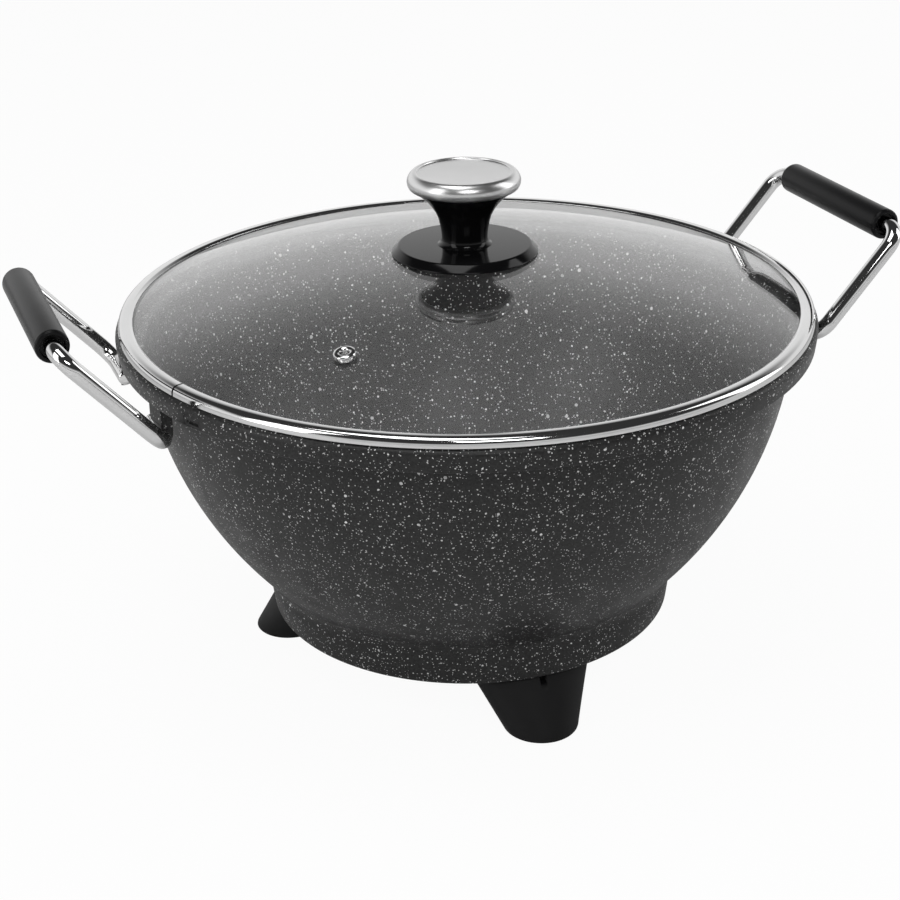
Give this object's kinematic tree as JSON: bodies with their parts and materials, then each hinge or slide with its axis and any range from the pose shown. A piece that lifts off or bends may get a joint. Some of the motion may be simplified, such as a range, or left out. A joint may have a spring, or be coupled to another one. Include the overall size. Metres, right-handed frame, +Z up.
{
  "type": "electric wok",
  "caption": "Deep round speckled bowl on splayed feet, with wire side handles, a lift-off glass lid and a capped knob.",
  "frame": {"origin": "on the floor, under the middle of the overall box, which is the axis of the bowl", "axes": "+Z up along the bowl's axis, +X towards the right handle, +Y towards the back, where the socket is"},
  "size_m": [0.434, 0.343, 0.2539],
  "materials": {
    "stone_coating": "cast aluminium with a charcoal non-stick coating, fine pale speckles",
    "element_steel": "dull sheathed tube",
    "plated_steel": "zinc plated",
    "ceramic": "off-white glazed ceramic",
    "black_plastic": "matte black moulded plastic",
    "rubber": "black rubber",
    "glass": "clear tempered glass",
    "polished_steel": "polished stainless steel",
    "gloss_black": "glossy black moulded plastic",
    "silicone": "dark silicone",
    "satin_steel": "satin stainless steel",
    "chrome_wire": "polished bent wire",
    "grip_black": "satin black moulded plastic"
  },
  "bodies": {
    "wok": {"wok_body": "stone_coating", "base_ring": "stone_coating", "clamp_posts": "stone_coating", "sensor_saddle": "stone_coating", "heating_element": "element_steel", "element_clamp": "plated_steel", "clamp_screws": "plated_steel", "terminal_pin_left": "plated_steel", "terminal_pin_right": "plated_steel", "terminal_collar_left": "ceramic", "terminal_collar_right": "ceramic", "sensor_tube": "element_steel", "socket_shroud": "black_plastic", "shroud_screws": "plated_steel", "base_cover": "plated_steel", "foot_front": "black_plastic", "foot_back_left": "black_plastic", "foot_back_right": "black_plastic", "foot_pad_front": "rubber", "foot_pad_back_left": "rubber", "foot_pad_back_right": "rubber", "foot_screws": "plated_steel"},
    "lid": {"lid_glass": "glass", "lid_band": "polished_steel", "vent_grommet": "polished_steel", "knob_skirt": "gloss_black", "knob_gasket": "silicone", "knob_seal": "silicone", "knob_washer": "plated_steel", "knob_screw": "plated_steel", "knob_stem": "gloss_black", "knob_cap": "satin_steel"},
    "handle_left": {"handle_wire_left": "chrome_wire"},
    "handle_right": {"handle_wire_right": "chrome_wire"},
    "sleeve_left": {"grip_left": "grip_black"},
    "sleeve_right": {"grip_right": "grip_black"}
  },
  "joints": [
    {"name": "lid_lift", "type": "slide", "parent": "wok", "child": "lid", "axis": [0, 0, 1], "range_m": [0, 0.12]},
    {"name": "handle_left_swing", "type": "hinge", "parent": "wok", "child": "handle_left", "pos_m": [-0.1657, 0, 0.1631], "axis": [0, 1, 0], "range_deg": [0, 36]},
    {"name": "handle_right_swing", "type": "hinge", "parent": "wok", "child": "handle_right", "pos_m": [0.1657, 0, 0.1631], "axis": [0, -1, 0], "range_deg": [0, 36]},
    {"name": "grip_left_turn", "type": "hinge", "parent": "handle_left", "child": "sleeve_left", "pos_m": [-0.20921, 0, 0.21246], "axis": [0, 1, 0], "continuous": true},
    {"name": "grip_right_turn", "type": "hinge", "parent": "handle_right", "child": "sleeve_right", "pos_m": [0.20921, 0, 0.21246], "axis": [0, 1, 0], "continuous": true}
  ]
}
